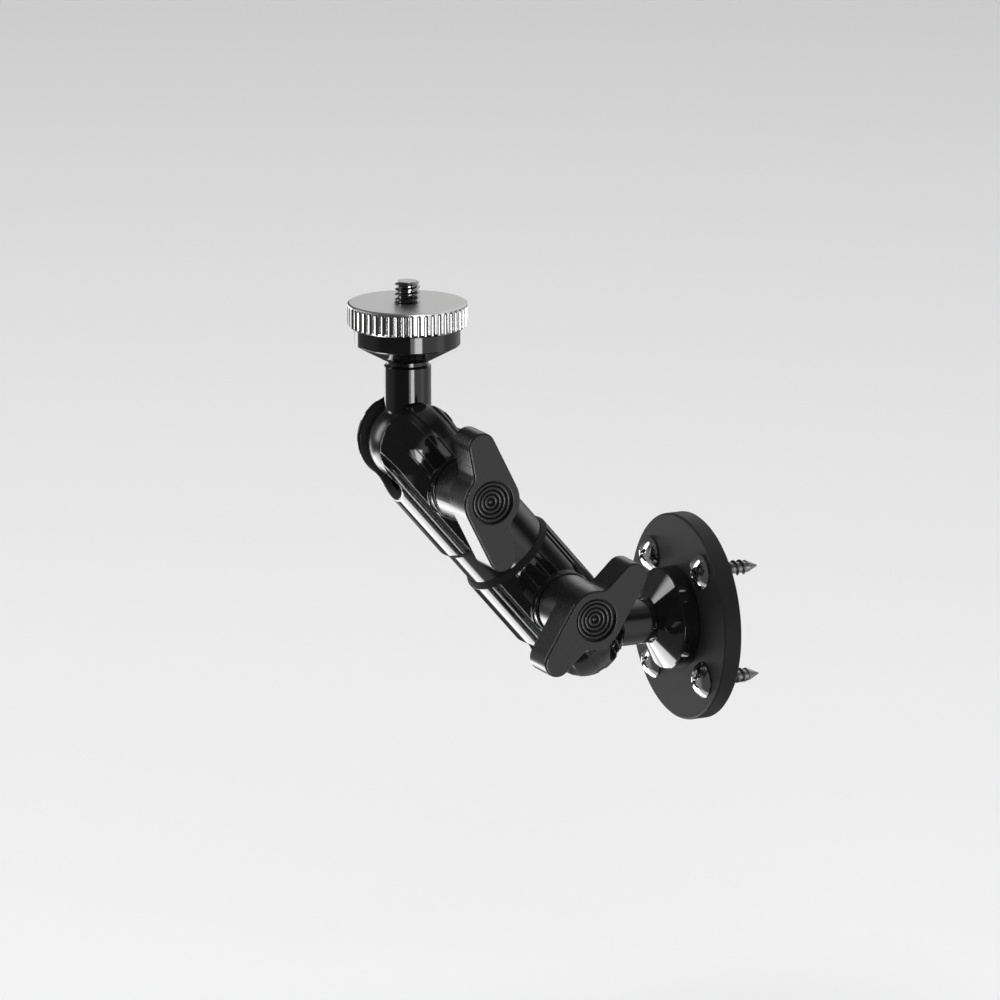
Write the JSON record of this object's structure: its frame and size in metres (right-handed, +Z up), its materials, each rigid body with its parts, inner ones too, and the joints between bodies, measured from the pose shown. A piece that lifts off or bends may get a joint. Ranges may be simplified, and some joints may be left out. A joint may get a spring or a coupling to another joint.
{
  "type": "camera wall bracket",
  "caption": "Round wall plate with an arm that has a clamped ball joint at each end, winged knobs, and a camera screw with a knurled lock nut on top.",
  "frame": {"origin": "centre of the wall plate's back face, on the wall", "axes": "+Y into the wall, square to the plate; +Z up; +X along the clamp knobs' axes, out of their faces"},
  "size_m": [0.0573, 0.1073, 0.1219],
  "materials": {
    "plate_coat": "matte black powder coat with a fine texture",
    "gloss_black": "gloss black lacquer",
    "sleeve_black": "smooth gloss black, turned",
    "stud_black": "semi-gloss black, turned",
    "knob_plastic": "matte dark grey, fine grain",
    "cap_plastic": "satin dark grey",
    "screw_chrome": "bright plated",
    "screw_steel": "plated steel",
    "nut_metal": "satin nickel",
    "cup_plastic": "black acetal, machined"
  },
  "bodies": {
    "wall_plate": {"wall_plate": "plate_coat", "wall_screws": "screw_chrome", "plate_centre_screw": "screw_steel", "lower_flange": "gloss_black"},
    "lower_ball_stud": {"lower_ball_stud": "stud_black"},
    "arm": {"lower_socket": "gloss_black", "arm_coupling": "sleeve_black", "upper_socket": "gloss_black"},
    "lower_clamp_screw": {"lower_clamp_screw": "screw_steel"},
    "lower_knob": {"lower_knob": "knob_plastic", "lower_knob_cap": "cap_plastic"},
    "lower_thrust_cup": {"lower_thrust_cup": "cup_plastic"},
    "upper_clamp_screw": {"upper_clamp_screw": "screw_steel"},
    "upper_knob": {"upper_knob": "knob_plastic", "upper_knob_cap": "cap_plastic"},
    "upper_thrust_cup": {"upper_thrust_cup": "cup_plastic"},
    "upper_ball_stud": {"upper_ball_stud": "stud_black"},
    "head": {"upper_flange": "gloss_black", "camera_screw": "screw_steel"},
    "thumb_nut": {"thumb_nut": "nut_metal"}
  },
  "joints": [
    {"name": "base_pan", "type": "hinge", "parent": "wall_plate", "child": "lower_ball_stud", "pos_m": [0, -0.03425, 0], "axis": [0, 1, 0], "continuous": true},
    {"name": "lower_swing", "type": "hinge", "parent": "lower_ball_stud", "child": "arm", "pos_m": [0, -0.03425, 0], "axis": [1, 0, 0], "range_deg": [-50.9, 149.1]},
    {"name": "lower_screw_travel", "type": "slide", "parent": "arm", "child": "lower_clamp_screw", "axis": [1, 0, 0], "range_m": [0, 0.0012]},
    {"name": "lower_knob_turn", "type": "hinge", "parent": "lower_clamp_screw", "child": "lower_knob", "pos_m": [0, -0.04322, 0.01035], "axis": [1, 0, 0], "range_deg": [0, 540]},
    {"name": "lower_cup_travel", "type": "slide", "parent": "arm", "child": "lower_thrust_cup", "axis": [0, -0.6547, 0.7559], "range_m": [0, 0.000322]},
    {"name": "upper_screw_travel", "type": "slide", "parent": "arm", "child": "upper_clamp_screw", "axis": [1, 0, 0], "range_m": [0, 0.0012]},
    {"name": "upper_knob_turn", "type": "hinge", "parent": "upper_clamp_screw", "child": "upper_knob", "pos_m": [0, -0.07213, 0.04373], "axis": [1, 0, 0], "range_deg": [0, 540]},
    {"name": "upper_cup_travel", "type": "slide", "parent": "arm", "child": "upper_thrust_cup", "axis": [0, 0.6547, -0.7559], "range_m": [0, 0.000322]},
    {"name": "upper_swing", "type": "hinge", "parent": "arm", "child": "upper_ball_stud", "pos_m": [0, -0.0811, 0.05408], "axis": [1, 0, 0], "range_deg": [-59.1, 140.9]},
    {"name": "head_pan", "type": "hinge", "parent": "upper_ball_stud", "child": "head", "pos_m": [0, -0.0811, 0.05408], "axis": [0, 0, 1], "continuous": true},
    {"name": "lock_nut_turn", "type": "hinge", "parent": "head", "child": "thumb_nut", "pos_m": [0, -0.0811, 0.08973], "axis": [0, 0, 1], "continuous": true}
  ],
  "couplings": [
    {"joint": "lower_screw_travel", "follows": "lower_knob_turn", "m_per_rad": 0.00012732},
    {"joint": "lower_cup_travel", "follows": "lower_knob_turn", "m_per_rad": 0.000034116},
    {"joint": "upper_screw_travel", "follows": "upper_knob_turn", "m_per_rad": 0.00012732},
    {"joint": "upper_cup_travel", "follows": "upper_knob_turn", "m_per_rad": 0.000034116}
  ]
}
